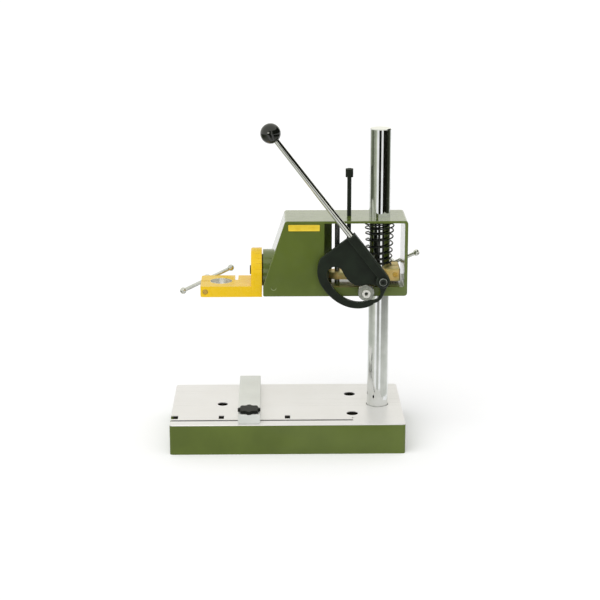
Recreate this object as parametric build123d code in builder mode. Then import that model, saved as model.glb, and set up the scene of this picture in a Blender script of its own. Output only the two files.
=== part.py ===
from build123d import *
import os
from math import cos, hypot, pi, radians, sin

# Bench drill stand: a cast base, a round column and a head that a cam lever feeds down against a coil spring
# X runs along the base, Y away from the user, Z up, origin at the centre of the base on the bench

os.makedirs("parts", exist_ok=True)

# Base casting
base_length = 220.0
base_width = 120.0
base_height = 29.0
base_corner = 3.0
base_edge = 0.6
base_wall = 5.0
base_deck = 8.0
base_rib = 6.0
core_step = 1.0
tool_x = -62.0
tool_hole_radius = 5.0
tool_hole_boss = 5.0
bolt_x = 61.5
bolt_spacing = 57.0
bolt_hole_radius = 5.5
bolt_boss = 5.5
socket_floor = 4.0
socket_chamfer = 1.0
socket_wall = 9.0

# Tee groove in the deck, and the small sunk marks beside it
groove_in = 13.0
groove_end_x = 61.4
groove_neck = 3.2
groove_neck_depth = 3.0
groove_head = 7.0
groove_head_depth = 3.4
groove_bed = 5.6
groove_zone = 20.0
mark_width = 5.0
mark_length = 9.3
mark_depth = 2.0
mark_gap = 2.95
mark_pitch = 62.3
mark_edge_width = 7.0
scribe_radius = 1.0
scribe_gap = 6.0

# Column and the grub screw that locks it in the base
column_x = 87.0
column_radius = 10.0
column_top_z = 297.0
column_chamfer = 0.8
bore_clearance = 0.05
set_screw_radius = 3.0
set_screw_length = 9.0
set_screw_z = 14.0
set_screw_gap = 0.3
set_screw_socket = 1.5
set_screw_socket_depth = 3.0

# Fence that slides in the groove
fence_x = -36.0
fence_width = 20.6
fence_height = 9.0
fence_front = 3.0
fence_edge = 0.4
slide_gap = 0.1
fence_bolt_radius = 1.4
fence_bolt_clearance = 0.2
fence_bolt_head = 6.2
fence_bolt_head_height = 2.6
knob_radius = 9.0
knob_height = 3.0
knob_lobes = 8
knob_lobe_radius = 2.6
knob_lobe_in = 0.9
knob_edge = 0.5
knob_roof = 1.0

# Head casting
head_bottom_z = 143.0
head_height = 71.6
head_length = 134.3
head_depth = 50.0
head_right = 25.0
head_slope = 20.6
head_toe = 9.7
head_corner = 3.0
head_toe_corner = 1.5
head_edge = 0.6
head_floor = 8.7
head_roof = 2.2
head_side = 3.0
window_length = 66.2
window_corner = 1.5
relief_length = 8.3
relief_depth = 35.0
core_wall = 4.0
core_corner = 3.0
roof_boss_radius = 13.0
roof_boss_height = 2.4
ejector_radius = 2.4
ejector_depth = 0.4
ejector_in = 9.8
ejector_up = 8.5

# Swivel between head and tool holder
swivel_z = 162.7
swivel_bore_radius = 2.5
swivel_bore_depth = 18.0
swivel_boss = 6.5
swivel_screw_grip = 13.0
swivel_head_radius = 4.25
swivel_head_height = 5.0
swivel_head_proud = 1.2
swivel_socket = 2.0
swivel_socket_depth = 2.5
swivel_washer_radius = 15.0
swivel_washer_thickness = 1.0
face_gap = 0.1

# Tool holder
holder_radius = 21.0
holder_flange = 10.2
holder_thickness = 10.2
holder_reach = 47.3
holder_corner = 3.0
holder_edge = 0.8
flange_edge = 1.6
collar_radius = 10.0
holder_slit = 2.0
notch_offset = 14.5
notch_width = 3.0
notch_root = 4.0

# Clamp screws with sliding cross bars
clamp_screw_radius = 2.5
clamp_screw_clearance = 0.1
clamp_head_radius = 4.0
clamp_head_length = 9.5
clamp_head_chamfer = 0.8
clamp_bar_radius = 1.8
clamp_bar_length = 46.0
clamp_ball_radius = 3.2
clamp_tip_inset = 0.5
holder_screw_in = 4.6
holder_bar_tilt = 26.0
column_bar_tilt = 24.0
head_pass = 0.5

# Clamp block that grips the column inside the head
block_gap = 3.3
block_height = 11.5
block_width = 28.0
block_left = 15.0
block_right = 19.0
block_slit = 2.0
block_edge = 0.6
block_corner = 1.2
arm_height = 6.5
arm_radius = 8.0
block_screw_in = 4.6
block_boss_radius = 6.0
guide_radius = 2.4
guide_offset = 39.5

# Depth stop
stop_offset = 28.6
stop_radius = 2.0
stop_top_z = 259.1
stop_head_radius = 3.6
stop_head_height = 7.8
stop_head_edge = 0.5
stop_flutes = 16
stop_flute_radius = 0.45
stop_socket = 1.6
stop_socket_depth = 3.0
stop_nut_flats = 7.0
stop_nut_height = 3.0
stop_reserve = 0.5

# Cam lever: turning the plate by cam_turn drives the head down by feed_stroke
feed_stroke = 30.0
cam_turn = 76.5
pivot_offset = 1.5
pivot_up = 5.2
follower_reach = 15.3
follower_drop = 11.9
follower_radius = 7.5
slot_clearance = 0.3
slot_lead = 5.8
rim_start = 5.5
rim_end = 8.0
rim_tail = 5.2
rim_tail_turn = 13.5
nose_wall = 2.6
plate_thickness = 4.0
plate_stand = 3.0
plate_edge = 0.6
plate_corner = 2.0
web_top = 51.5
web_reach = 32.7
lever_angle = 127.64
lever_boss_width = 8.6
lever_boss_end = 51.5
lever_boss_thickness = 10.0
lever_boss_edge = 1.0
hub_radius = 6.5
pivot_radius = 3.0
pivot_head_radius = 3.6
pivot_head_height = 2.2
pivot_head_edge = 0.7
pivot_socket = 1.5
pivot_grip = 9.0
pivot_thread_radius = 2.0
lever_length = 171.8
lever_rod_radius = 3.0
lever_tip_radius = 2.5
lever_rod_grip = 16.0
lever_shoulder = 8.0
ball_radius = 9.3
ball_neck_radius = 4.0
ball_bore_depth = 10.0
ball_bore_clearance = 0.2

# Follower bearing on the front of the head
bearing_width = 5.0
bearing_bore_radius = 2.5
bearing_inner_radius = 4.3
bearing_outer_inner = 5.9
bearing_groove = 1.0
bearing_ball_radius = 0.9
bearing_balls_count = 7
bearing_edge = 0.3
spacer_radius = 4.0
follower_bolt_grip = 10.0
follower_head_radius = 3.9
follower_head_height = 4.0
follower_socket = 1.9
follower_socket_depth = 2.4
shield_thickness = 0.4
shield_gap = 0.2

# Return spring round the column
wire_radius = 0.7
spring_bottom_radius = 11.3
spring_top_radius = 13.7
spring_turns = 8
spring_seat_gap = 0.3
spring_end_share = 0.3
spring_step_share = 0.001
spring_samples = 60
quarter_steps = 4

# One overrun serves every cut
overrun = 1.0

# Places worked out from the sizes above
deck_z = base_height
groove_y = groove_in - base_width / 2
column_foot_z = socket_floor + slide_gap
head_right_x = column_x + head_right
head_left_x = head_right_x - head_length
head_top_z = head_bottom_z + head_height
head_front_y = -head_depth / 2
floor_z = head_bottom_z + head_floor
roof_z = head_top_z - head_roof
roof_boss_z = roof_z - roof_boss_height
window_right_x = head_right_x - head_side
window_left_x = window_right_x - window_length
block_bottom_z = floor_z + block_gap
block_top_z = block_bottom_z + block_height
arm_top_z = block_bottom_z + arm_height
guide_x = column_x - guide_offset
stop_x = column_x - stop_offset
stop_tip_z = arm_top_z + feed_stroke + stop_reserve
pivot_x = column_x + pivot_offset
pivot_z = block_bottom_z + pivot_up
follower_x = pivot_x - follower_reach
follower_z = pivot_z - follower_drop
plate_back_y = head_front_y - plate_stand
lever_boss_front_y = plate_back_y - lever_boss_thickness
lever_y = plate_back_y - lever_boss_thickness / 2
slot_half = follower_radius + slot_clearance
washer_x = head_left_x - swivel_washer_thickness
flange_right_x = washer_x - face_gap
flange_left_x = flange_right_x - holder_flange
holder_left_x = flange_left_x - holder_reach
holder_bottom_z = swivel_z - holder_radius
holder_top_z = holder_bottom_z + holder_thickness
holder_mid_z = (holder_bottom_z + holder_top_z) / 2
block_mid_z = (block_bottom_z + block_top_z) / 2
lever_direction = (cos(radians(lever_angle)), 0, sin(radians(lever_angle)))
lever_shift = hub_radius - lever_boss_width / 2


def save(piece, name):
    # each piece goes out under its own name
    piece.part.label = name
    export_step(piece.part, "parts/" + name + ".step")


def facing_front(x, y, z):
    # a sketch plane that looks at the user, with X to the right and Z up
    return Plane(origin=(x, y, z), x_dir=(1, 0, 0), z_dir=(0, -1, 0))


# Base: a shallow box casting with a planed deck, cross ribs and a boss under each hole
core_back_y = base_width / 2 - base_wall
core_front_y = groove_y + groove_zone / 2
strip_front_y = base_wall - base_width / 2
strip_core_height = base_height - groove_neck_depth - groove_head_depth - groove_bed


def core_outline(front_y, step):
    # the hollow under the deck, drawn in by a step, less the ribs and the bosses
    with Locations((0, (core_back_y + front_y) / 2)):
        Rectangle(base_length - 2 * base_wall - 2 * step, core_back_y - front_y - 2 * step)
    Rectangle(base_rib + 2 * step, base_width, mode=Mode.SUBTRACT)
    Rectangle(base_length, base_rib + 2 * step, mode=Mode.SUBTRACT)
    with Locations((tool_x, 0)):
        Circle(tool_hole_radius + tool_hole_boss + step, mode=Mode.SUBTRACT)
    with Locations((column_x, 0)):
        Circle(column_radius + socket_wall + step, mode=Mode.SUBTRACT)
    with Locations((bolt_x, bolt_spacing / 2), (bolt_x, -bolt_spacing / 2)):
        Circle(bolt_hole_radius + bolt_boss + step, mode=Mode.SUBTRACT)


with BuildPart() as base_casting:
    with BuildSketch():
        RectangleRounded(base_length, base_width, base_corner)
    extrude(amount=base_height)
    chamfer(base_casting.faces().sort_by(Axis.Z)[-1].edges(), length=base_edge)
    with BuildSketch():
        core_outline(strip_front_y, 0)
    extrude(amount=strip_core_height, mode=Mode.SUBTRACT)
    # behind the groove the hollow goes on up to the deck
    with BuildSketch(Plane.XY.offset(strip_core_height - overrun)):
        core_outline(core_front_y, core_step)
    extrude(amount=base_height - base_deck - strip_core_height + overrun, mode=Mode.SUBTRACT)
    # through holes for the drill and for bench bolts, and the column socket
    with Locations((tool_x, 0, base_height)):
        Hole(radius=tool_hole_radius)
    with Locations((bolt_x, bolt_spacing / 2, base_height), (bolt_x, -bolt_spacing / 2, base_height)):
        Hole(radius=bolt_hole_radius)
    with BuildSketch(Plane.XY.offset(socket_floor)):
        with Locations((column_x, 0)):
            Circle(column_radius + bore_clearance)
    extrude(amount=base_height, mode=Mode.SUBTRACT)
    rims = base_casting.faces().sort_by(Axis.Z)[-1].edges().filter_by(GeomType.CIRCLE)
    chamfer(rims.sort_by(SortBy.RADIUS)[-1], length=socket_chamfer)
    # tee groove, open at the left end
    with BuildSketch(Plane.YZ.offset(groove_end_x)):
        with Locations((groove_y, deck_z - groove_neck_depth / 2)):
            Rectangle(groove_neck, groove_neck_depth)
        with Locations((groove_y, deck_z - groove_neck_depth - groove_head_depth / 2)):
            Rectangle(groove_head, groove_head_depth)
    extrude(amount=-(groove_end_x + base_length / 2 + overrun), mode=Mode.SUBTRACT)
    # sunk marks behind the groove
    mark_y = groove_y + groove_neck / 2 + mark_gap + mark_length / 2
    with BuildSketch(Plane.XY.offset(deck_z - mark_depth)):
        with Locations((0, mark_y), (-mark_pitch, mark_y)):
            Rectangle(mark_width, mark_length)
        with Locations(((mark_edge_width - base_length) / 2, mark_y)):
            Rectangle(mark_edge_width, mark_length)
        with Locations((groove_end_x, groove_y + scribe_gap)):
            Circle(scribe_radius)
    extrude(amount=mark_depth + overrun, mode=Mode.SUBTRACT)
    # cross hole for the grub screw
    with BuildSketch(Plane.YZ.offset(column_x)):
        with Locations((0, set_screw_z)):
            Circle(set_screw_radius + bore_clearance)
    extrude(amount=base_length / 2 - column_x + overrun, mode=Mode.SUBTRACT)
save(base_casting, "base_casting")

# Grub screw with a hexagon socket, its tip just short of the column
set_screw_tip_x = column_x + column_radius + set_screw_gap
with BuildPart() as column_set_screw:
    with BuildSketch(Plane.YZ.offset(set_screw_tip_x)):
        with Locations((0, set_screw_z)):
            Circle(set_screw_radius)
    extrude(amount=set_screw_length)
    with BuildSketch(Plane.YZ.offset(set_screw_tip_x + set_screw_length)):
        with Locations((0, set_screw_z)):
            RegularPolygon(set_screw_socket, 6)
    extrude(amount=-set_screw_socket_depth, mode=Mode.SUBTRACT)
save(column_set_screw, "column_set_screw")

# Column: ground and chromed bar
with BuildPart() as column:
    with BuildSketch(Plane.XY.offset(column_foot_z)):
        with Locations((column_x, 0)):
            Circle(column_radius)
    extrude(amount=column_top_z - column_foot_z)
    chamfer(column.edges().filter_by(GeomType.CIRCLE), length=column_chamfer)
save(column, "column")

# Fence bar with the hole for its bolt
fence_length = base_width - fence_front
fence_mid_y = base_width / 2 - fence_length / 2
fence_bottom_z = deck_z + slide_gap
fence_top_z = fence_bottom_z + fence_height
with BuildPart() as fence_bar:
    with BuildSketch(Plane.XY.offset(fence_bottom_z)):
        with Locations((fence_x, fence_mid_y)):
            Rectangle(fence_width, fence_length)
    extrude(amount=fence_height)
    chamfer(fence_bar.faces().sort_by(Axis.Z)[-1].edges(), length=fence_edge)
    with BuildSketch(Plane.XY.offset(fence_bottom_z)):
        with Locations((fence_x, groove_y)):
            Circle(fence_bolt_radius + fence_bolt_clearance)
    extrude(amount=fence_height, mode=Mode.SUBTRACT)
save(fence_bar, "fence_bar")

# Tee bolt: a square head in the groove and a stud up through the bar
fence_bolt_bottom_z = deck_z - groove_neck_depth - (groove_head_depth + fence_bolt_head_height) / 2
knob_bottom_z = fence_top_z + slide_gap
knob_top_z = knob_bottom_z + knob_height
stud_top_z = knob_top_z - knob_roof - slide_gap
with BuildPart() as fence_bolt:
    with BuildSketch(Plane.XY.offset(fence_bolt_bottom_z)):
        with Locations((fence_x, groove_y)):
            Rectangle(fence_bolt_head, fence_bolt_head)
    extrude(amount=fence_bolt_head_height)
    with BuildSketch(Plane.XY.offset(fence_bolt_bottom_z)):
        with Locations((fence_x, groove_y)):
            Circle(fence_bolt_radius)
    extrude(amount=stud_top_z - fence_bolt_bottom_z)
save(fence_bolt, "fence_bolt")

# Lobed thumb nut on the stud
with BuildPart() as fence_knob:
    with BuildSketch(Plane.XY.offset(knob_bottom_z)):
        with Locations((fence_x, groove_y)):
            Circle(knob_radius)
            with PolarLocations(knob_radius - knob_lobe_in, knob_lobes):
                Circle(knob_lobe_radius)
    extrude(amount=knob_height)
    chamfer(fence_knob.faces().sort_by(Axis.Z)[-1].edges(), length=knob_edge)
    with BuildSketch(Plane.XY.offset(knob_bottom_z)):
        with Locations((fence_x, groove_y)):
            Circle(fence_bolt_radius + bore_clearance)
    extrude(amount=knob_height - knob_roof, mode=Mode.SUBTRACT)
save(fence_knob, "fence_knob")

# Head casting: a sloped block in front, cored from behind, and an open frame round the column
slope_top_x = head_left_x + head_slope
toe_z = head_bottom_z + head_toe
core_right_x = window_left_x - relief_length - core_wall
with BuildPart() as head_casting:
    with BuildSketch(facing_front(0, -head_front_y, 0)):
        with BuildLine():
            Polyline(
                (head_left_x, head_bottom_z),
                (head_right_x, head_bottom_z),
                (head_right_x, head_top_z),
                (slope_top_x, head_top_z),
                (head_left_x, toe_z),
                close=True,
            )
        make_face()
        fillet(vertices().group_by(Axis.Y)[-1], head_corner)
        fillet(vertices().group_by(Axis.Y)[0].sort_by(Axis.X)[-1], head_corner)
        fillet(vertices().group_by(Axis.Y)[0].sort_by(Axis.X)[0], head_toe_corner)
    extrude(amount=head_depth)
    fillet(head_casting.faces().sort_by(Axis.Y)[0].edges(), head_edge)
    fillet(head_casting.faces().sort_by(Axis.Y)[-1].edges(), head_edge)
    # round swivel boss standing out of the slope
    with BuildSketch(Plane.YZ.offset(head_left_x)):
        with Locations((0, swivel_z)):
            Circle(swivel_z - head_bottom_z)
    extrude(amount=head_slope + core_wall)
    # window for the column, spring and clamp block, with a relief for the block's arm
    window_mid_z = (floor_z + roof_z) / 2
    with BuildSketch(facing_front(0, -head_front_y + overrun, 0)):
        with Locations(((window_left_x + window_right_x) / 2, window_mid_z)):
            RectangleRounded(window_length, roof_z - floor_z, window_corner)
    extrude(amount=head_depth + 2 * overrun, mode=Mode.SUBTRACT)
    relief_mid_x = window_left_x + (window_corner - relief_length) / 2
    with BuildSketch(facing_front(0, head_front_y + relief_depth, 0)):
        with Locations((relief_mid_x, window_mid_z)):
            Rectangle(relief_length + window_corner, roof_z - floor_z)
    extrude(amount=relief_depth + overrun, mode=Mode.SUBTRACT)
    # core of the sloped block, open at the back
    slope_run = head_slope / (head_height - head_toe)
    core_top_z = head_top_z - core_wall
    core_bottom_z = head_bottom_z + core_wall
    slant_wall = core_wall * hypot(1, slope_run)
    with BuildSketch(facing_front(0, -head_front_y + overrun, 0)):
        with BuildLine():
            Polyline(
                (head_left_x + core_wall, core_bottom_z),
                (core_right_x, core_bottom_z),
                (core_right_x, core_top_z),
                (slope_top_x - core_wall * slope_run + slant_wall, core_top_z),
                (head_left_x + slant_wall, toe_z),
                close=True,
            )
        make_face()
        fillet(vertices().group_by(Axis.Y)[-1], core_corner)
    extrude(amount=head_depth + overrun - core_wall, mode=Mode.SUBTRACT)
    # bosses: inside the core for the swivel screw, and under the roof for the column
    with BuildSketch(Plane.YZ.offset(head_left_x)):
        with Locations((0, swivel_z)):
            Circle(swivel_bore_radius + swivel_boss)
    extrude(amount=swivel_bore_depth + core_wall)
    with BuildSketch(Plane.XY.offset(roof_boss_z)):
        with Locations((column_x, 0)):
            Circle(roof_boss_radius)
    extrude(amount=roof_z - roof_boss_z + head_roof / 2)
    # bores for the column, the guide rod, the stop, the swivel screw and the follower bolt
    with Locations((column_x, 0, head_top_z)):
        Hole(radius=column_radius + bore_clearance)
    with Locations((guide_x, 0, head_top_z)):
        Hole(radius=guide_radius + bore_clearance)
    with BuildSketch(Plane.XY.offset(roof_z - overrun)):
        with Locations((stop_x, 0)):
            Circle(stop_radius + bore_clearance)
    extrude(amount=head_roof + 2 * overrun, mode=Mode.SUBTRACT)
    with BuildSketch(Plane.YZ.offset(head_left_x - overrun)):
        with Locations((0, swivel_z)):
            Circle(swivel_bore_radius + bore_clearance)
    extrude(amount=swivel_bore_depth + overrun, mode=Mode.SUBTRACT)
    with BuildSketch(facing_front(follower_x, head_front_y + follower_bolt_grip, follower_z)):
        Circle(bearing_bore_radius + bore_clearance)
    extrude(amount=follower_bolt_grip + overrun, mode=Mode.SUBTRACT)
    # round ejector mark low on the front
    with BuildSketch(facing_front(head_left_x + ejector_in, head_front_y, head_bottom_z + ejector_up)):
        Circle(ejector_radius)
    extrude(amount=-ejector_depth, mode=Mode.SUBTRACT)
save(head_casting, "head_casting")

# Guide rod, pressed into floor and roof, keeps the head square to the block
with BuildPart() as guide_rod:
    with BuildSketch(Plane.XY.offset(head_bottom_z + head_edge)):
        with Locations((guide_x, 0)):
            Circle(guide_radius)
    extrude(amount=head_height - head_edge)
save(guide_rod, "guide_rod")

# Depth stop: a long screw through the roof with a fluted head and a socket
with BuildPart() as stop_screw:
    with BuildSketch(Plane.XY.offset(stop_tip_z)):
        with Locations((stop_x, 0)):
            Circle(stop_radius)
    extrude(amount=stop_top_z - stop_tip_z)
    with BuildSketch(Plane.XY.offset(stop_top_z - stop_head_height)):
        with Locations((stop_x, 0)):
            Circle(stop_head_radius)
            with PolarLocations(stop_head_radius, stop_flutes):
                Circle(stop_flute_radius, mode=Mode.SUBTRACT)
    extrude(amount=stop_head_height)
    with BuildSketch(Plane.XY.offset(stop_top_z)):
        with Locations((stop_x, 0)):
            RegularPolygon(stop_socket, 6)
    extrude(amount=-stop_socket_depth, mode=Mode.SUBTRACT)
    fillet(stop_screw.edges().group_by(Axis.Z)[0], stop_head_edge)
save(stop_screw, "stop_screw")

with BuildPart() as stop_nut:
    with BuildSketch(Plane.XY.offset(roof_z - stop_nut_height)):
        with Locations((stop_x, 0)):
            RegularPolygon(stop_nut_flats / 2, 6, major_radius=False)
            Circle(stop_radius + bore_clearance, mode=Mode.SUBTRACT)
    extrude(amount=stop_nut_height)
save(stop_nut, "stop_nut")

# Clamp block: split round the column, an arm for the guide rod and a boss for the cam pivot
block_left_x = column_x - block_left
block_right_x = column_x + block_right
with BuildPart() as clamp_block:
    with BuildSketch(Plane.XY.offset(block_bottom_z)):
        with Locations(((block_left_x + block_right_x) / 2, 0)):
            Rectangle(block_left + block_right, block_width)
        fillet(vertices(), block_corner)
    extrude(amount=block_height)
    with BuildSketch(Plane.XY.offset(block_bottom_z)):
        with Locations(((block_left_x + guide_x) / 2, 0)):
            SlotCenterToCenter(block_left_x - guide_x, 2 * arm_radius)
    extrude(amount=arm_height)
    chamfer(clamp_block.faces().sort_by(Axis.Z)[-1].edges(), length=block_edge)
    with BuildSketch(facing_front(pivot_x, -block_width / 2 + block_edge, pivot_z)):
        Circle(block_boss_radius)
    extrude(amount=-block_width / 2 + block_edge - plate_back_y - bore_clearance)
    # bores, clamping slit and screw holes
    with Locations((column_x, 0, block_top_z)):
        Hole(radius=column_radius + bore_clearance)
    with Locations((guide_x, 0, block_top_z)):
        Hole(radius=guide_radius + bore_clearance)
    with BuildSketch(Plane.XY.offset(block_bottom_z - overrun)):
        with Locations((column_x + (block_right + overrun) / 2, 0)):
            Rectangle(block_right + overrun, block_slit)
    extrude(amount=block_height + 2 * overrun, mode=Mode.SUBTRACT)
    with BuildSketch(facing_front(block_right_x - block_screw_in, block_width, block_mid_z)):
        Circle(clamp_screw_radius + clamp_screw_clearance)
    extrude(amount=2 * block_width, mode=Mode.SUBTRACT)
    with BuildSketch(facing_front(pivot_x, plate_back_y + pivot_grip, pivot_z)):
        Circle(pivot_thread_radius + bore_clearance)
    extrude(amount=pivot_grip + overrun, mode=Mode.SUBTRACT)
save(clamp_block, "clamp_block")


def slot_point(turn, side):
    # the follower's centre as the plate sees it after a given turn, moved sideways from the slot's middle
    drop = follower_drop + feed_stroke * turn / cam_turn
    rate = feed_stroke / radians(cam_turn)
    c = cos(radians(turn))
    s = sin(radians(turn))
    run_x = follower_reach * s - drop * c - rate * s
    run_z = follower_reach * c + drop * s - rate * c
    run = hypot(run_x, run_z)
    x = -follower_reach * c - drop * s - side * run_z / run
    z = follower_reach * s - drop * c + side * run_x / run
    return (x, z)


def lever_point(along, across):
    # a point in the lever's own directions, along it and to its right, from the pivot
    c = cos(radians(lever_angle))
    s = sin(radians(lever_angle))
    return (along * c + across * s, along * s - across * c)


# Cam plate: a spiral slot in a flat plate, with a raised socket for the lever rod
cam_steps = 8
cam_stations = [cam_turn * n / cam_steps for n in range(cam_steps + 1)]
lead_x = slot_lead / 2 - follower_reach
nose_radius = slot_half + nose_wall
boss_left = hub_radius - lever_boss_width
web_corner = lever_point(web_top, -web_reach)
with BuildPart() as cam_plate:
    with BuildSketch(facing_front(pivot_x, plate_back_y, pivot_z)) as plate_outline:
        Circle(hub_radius)
        with Locations((slot_lead - follower_reach, -follower_drop)):
            Circle(nose_radius)
        make_hull()
        with BuildLine():
            rim_points = [
                slot_point(t, slot_half + rim_start + (rim_end - rim_start) * t / cam_turn)
                for t in cam_stations
            ]
            rim_tail_point = slot_point(cam_turn + rim_tail_turn, slot_half + rim_tail)
            Spline(*rim_points, rim_tail_point, web_corner)
            Polyline(
                web_corner,
                lever_point(web_top, boss_left),
                lever_point(0, boss_left),
                lever_point(0, hub_radius),
                rim_points[0],
            )
        make_face()
        fillet(vertices().sort_by(Axis.X)[0], plate_corner)
    extrude(amount=plate_thickness)
    chamfer(cam_plate.faces().sort_by(Axis.Y)[0].edges(), length=plate_edge)
    with BuildSketch(facing_front(pivot_x, plate_back_y, pivot_z)):
        with BuildLine():
            Polyline(
                lever_point(0, boss_left),
                lever_point(0, hub_radius),
                lever_point(lever_boss_end, hub_radius),
                lever_point(lever_boss_end, boss_left),
                close=True,
            )
        make_face()
        Circle(hub_radius)
    extrude(amount=lever_boss_thickness)
    chamfer(cam_plate.faces().sort_by(Axis.Y)[0].edges(), length=lever_boss_edge)
    # spiral slot, its straight lead at the rest end and its round far end
    with BuildSketch(facing_front(pivot_x, plate_back_y, pivot_z)):
        with BuildLine():
            outer_wall = [slot_point(t, slot_half) for t in cam_stations]
            inner_wall = [slot_point(t, -slot_half) for t in cam_stations]
            Spline(*outer_wall)
            Line(outer_wall[-1], inner_wall[-1])
            Spline(*inner_wall)
            Line(inner_wall[0], outer_wall[0])
        make_face()
        with Locations(slot_point(cam_turn, 0)):
            Circle(slot_half)
        with Locations((lead_x, -follower_drop)):
            SlotCenterToCenter(slot_lead, 2 * slot_half)
    extrude(amount=lever_boss_thickness, mode=Mode.SUBTRACT)
    with BuildSketch(facing_front(pivot_x, plate_back_y, pivot_z)):
        Circle(pivot_radius + bore_clearance)
    extrude(amount=lever_boss_thickness, mode=Mode.SUBTRACT)
    # blind bore for the lever rod
    boss_mouth = lever_point(lever_boss_end, lever_shift)
    mouth_origin = (pivot_x + boss_mouth[0], lever_y, pivot_z + boss_mouth[1])
    with BuildSketch(Plane(origin=mouth_origin, z_dir=lever_direction)):
        Circle(lever_rod_radius + bore_clearance)
    extrude(amount=-lever_rod_grip, mode=Mode.SUBTRACT)
save(cam_plate, "cam_plate")

# Pivot screw: a plain shoulder through the hub, a thread into the block and a low round head
with BuildPart() as cam_pivot_screw:
    with BuildSketch(facing_front(pivot_x, plate_back_y + pivot_grip - bore_clearance, pivot_z)):
        Circle(pivot_thread_radius)
    extrude(amount=pivot_grip)
    with BuildSketch(facing_front(pivot_x, plate_back_y, pivot_z)):
        Circle(pivot_radius)
    extrude(amount=lever_boss_thickness + slide_gap)
    with BuildSketch(facing_front(pivot_x, lever_boss_front_y - slide_gap, pivot_z)):
        Circle(pivot_head_radius)
    extrude(amount=pivot_head_height)
    pivot_rim = cam_pivot_screw.faces().sort_by(Axis.Y)[0].edges()
    fillet(pivot_rim, pivot_head_edge)
    with BuildSketch(facing_front(pivot_x, lever_boss_front_y - slide_gap - pivot_head_height, pivot_z)):
        RegularPolygon(pivot_socket, 6)
    extrude(amount=-pivot_head_height, mode=Mode.SUBTRACT)
save(cam_pivot_screw, "cam_pivot_screw")


def on_lever(along):
    # a plane square to the lever rod, so far along from the pivot
    x, z = lever_point(along, lever_shift)
    return Plane(origin=(pivot_x + x, lever_y, pivot_z + z), z_dir=lever_direction)


# Lever rod, a slim taper from the socket to the ball
rod_foot = lever_boss_end - lever_rod_grip + slide_gap
rod_tip = lever_length - ball_radius + ball_bore_depth - slide_gap
with BuildPart() as lever_rod:
    with BuildSketch(on_lever(rod_foot)):
        Circle(lever_rod_radius)
    extrude(amount=lever_rod_grip + lever_shoulder)
    with BuildSketch(on_lever(lever_boss_end + lever_shoulder)):
        Circle(lever_rod_radius)
    with BuildSketch(on_lever(rod_tip)):
        Circle(lever_tip_radius)
    loft()
save(lever_rod, "lever_rod")

# Ball knob, turned flat where the rod goes in
ball_flat = (ball_radius**2 - ball_neck_radius**2) ** 0.5
with BuildPart() as lever_ball:
    with Locations(on_lever(lever_length)):
        Sphere(ball_radius)
    with BuildSketch(on_lever(lever_length - ball_flat)):
        Circle(ball_radius)
    extrude(amount=-ball_radius, mode=Mode.SUBTRACT)
    with BuildSketch(on_lever(lever_length - ball_flat - overrun)):
        Circle(lever_tip_radius + ball_bore_clearance)
    extrude(amount=ball_bore_depth + overrun, mode=Mode.SUBTRACT)
save(lever_ball, "lever_ball")

# Follower bearing: spacer, rings, balls and a shield, held on the head by a socket screw
bearing_back_y = head_front_y - plate_stand
bearing_mid_y = bearing_back_y - bearing_width / 2
bearing_front_y = bearing_back_y - bearing_width
race_radius = (bearing_inner_radius + bearing_outer_inner) / 2
with BuildPart() as follower_spacer:
    with BuildSketch(facing_front(follower_x, head_front_y, follower_z)):
        Circle(spacer_radius)
        Circle(bearing_bore_radius + bore_clearance, mode=Mode.SUBTRACT)
    extrude(amount=plate_stand)
save(follower_spacer, "follower_spacer")

with BuildPart() as bearing_inner_ring:
    with BuildSketch(facing_front(follower_x, bearing_back_y, follower_z)):
        Circle(bearing_inner_radius)
        Circle(bearing_bore_radius + bore_clearance, mode=Mode.SUBTRACT)
    extrude(amount=bearing_width)
    with Locations(facing_front(follower_x, bearing_mid_y, follower_z)):
        Torus(race_radius, bearing_groove, mode=Mode.SUBTRACT)
save(bearing_inner_ring, "bearing_inner_ring")

with BuildPart() as bearing_outer_ring:
    with BuildSketch(facing_front(follower_x, bearing_back_y, follower_z)):
        Circle(follower_radius)
        Circle(bearing_outer_inner, mode=Mode.SUBTRACT)
    extrude(amount=bearing_width)
    outer_rims = bearing_outer_ring.edges().filter_by(GeomType.CIRCLE).group_by(SortBy.RADIUS)[-1]
    chamfer(outer_rims, length=bearing_edge)
    with Locations(facing_front(follower_x, bearing_mid_y, follower_z)):
        Torus(race_radius, bearing_groove, mode=Mode.SUBTRACT)
save(bearing_outer_ring, "bearing_outer_ring")

with BuildPart() as bearing_balls:
    with Locations(facing_front(follower_x, bearing_mid_y, follower_z)):
        with PolarLocations(race_radius, bearing_balls_count):
            Sphere(bearing_ball_radius)
save(bearing_balls, "bearing_balls")

# The shield is a thin ring on the outer ring's face, just clear of the screw head
with BuildPart() as bearing_shield:
    with BuildSketch(facing_front(follower_x, bearing_front_y, follower_z)):
        Circle(follower_radius - 2 * bearing_edge)
        Circle(follower_head_radius + shield_gap, mode=Mode.SUBTRACT)
    extrude(amount=shield_thickness)
save(bearing_shield, "bearing_shield")

with BuildPart() as follower_bolt:
    with BuildSketch(facing_front(follower_x, head_front_y + follower_bolt_grip - slide_gap, follower_z)):
        Circle(bearing_bore_radius)
    extrude(amount=follower_bolt_grip - slide_gap + plate_stand + bearing_width)
    with BuildSketch(facing_front(follower_x, bearing_front_y, follower_z)):
        Circle(follower_head_radius)
    extrude(amount=follower_head_height)
    fillet(follower_bolt.faces().sort_by(Axis.Y)[0].edges(), bearing_edge)
    with BuildSketch(facing_front(follower_x, bearing_front_y - follower_head_height, follower_z)):
        RegularPolygon(follower_socket, 6)
    extrude(amount=-follower_socket_depth, mode=Mode.SUBTRACT)
save(follower_bolt, "follower_bolt")

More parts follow.
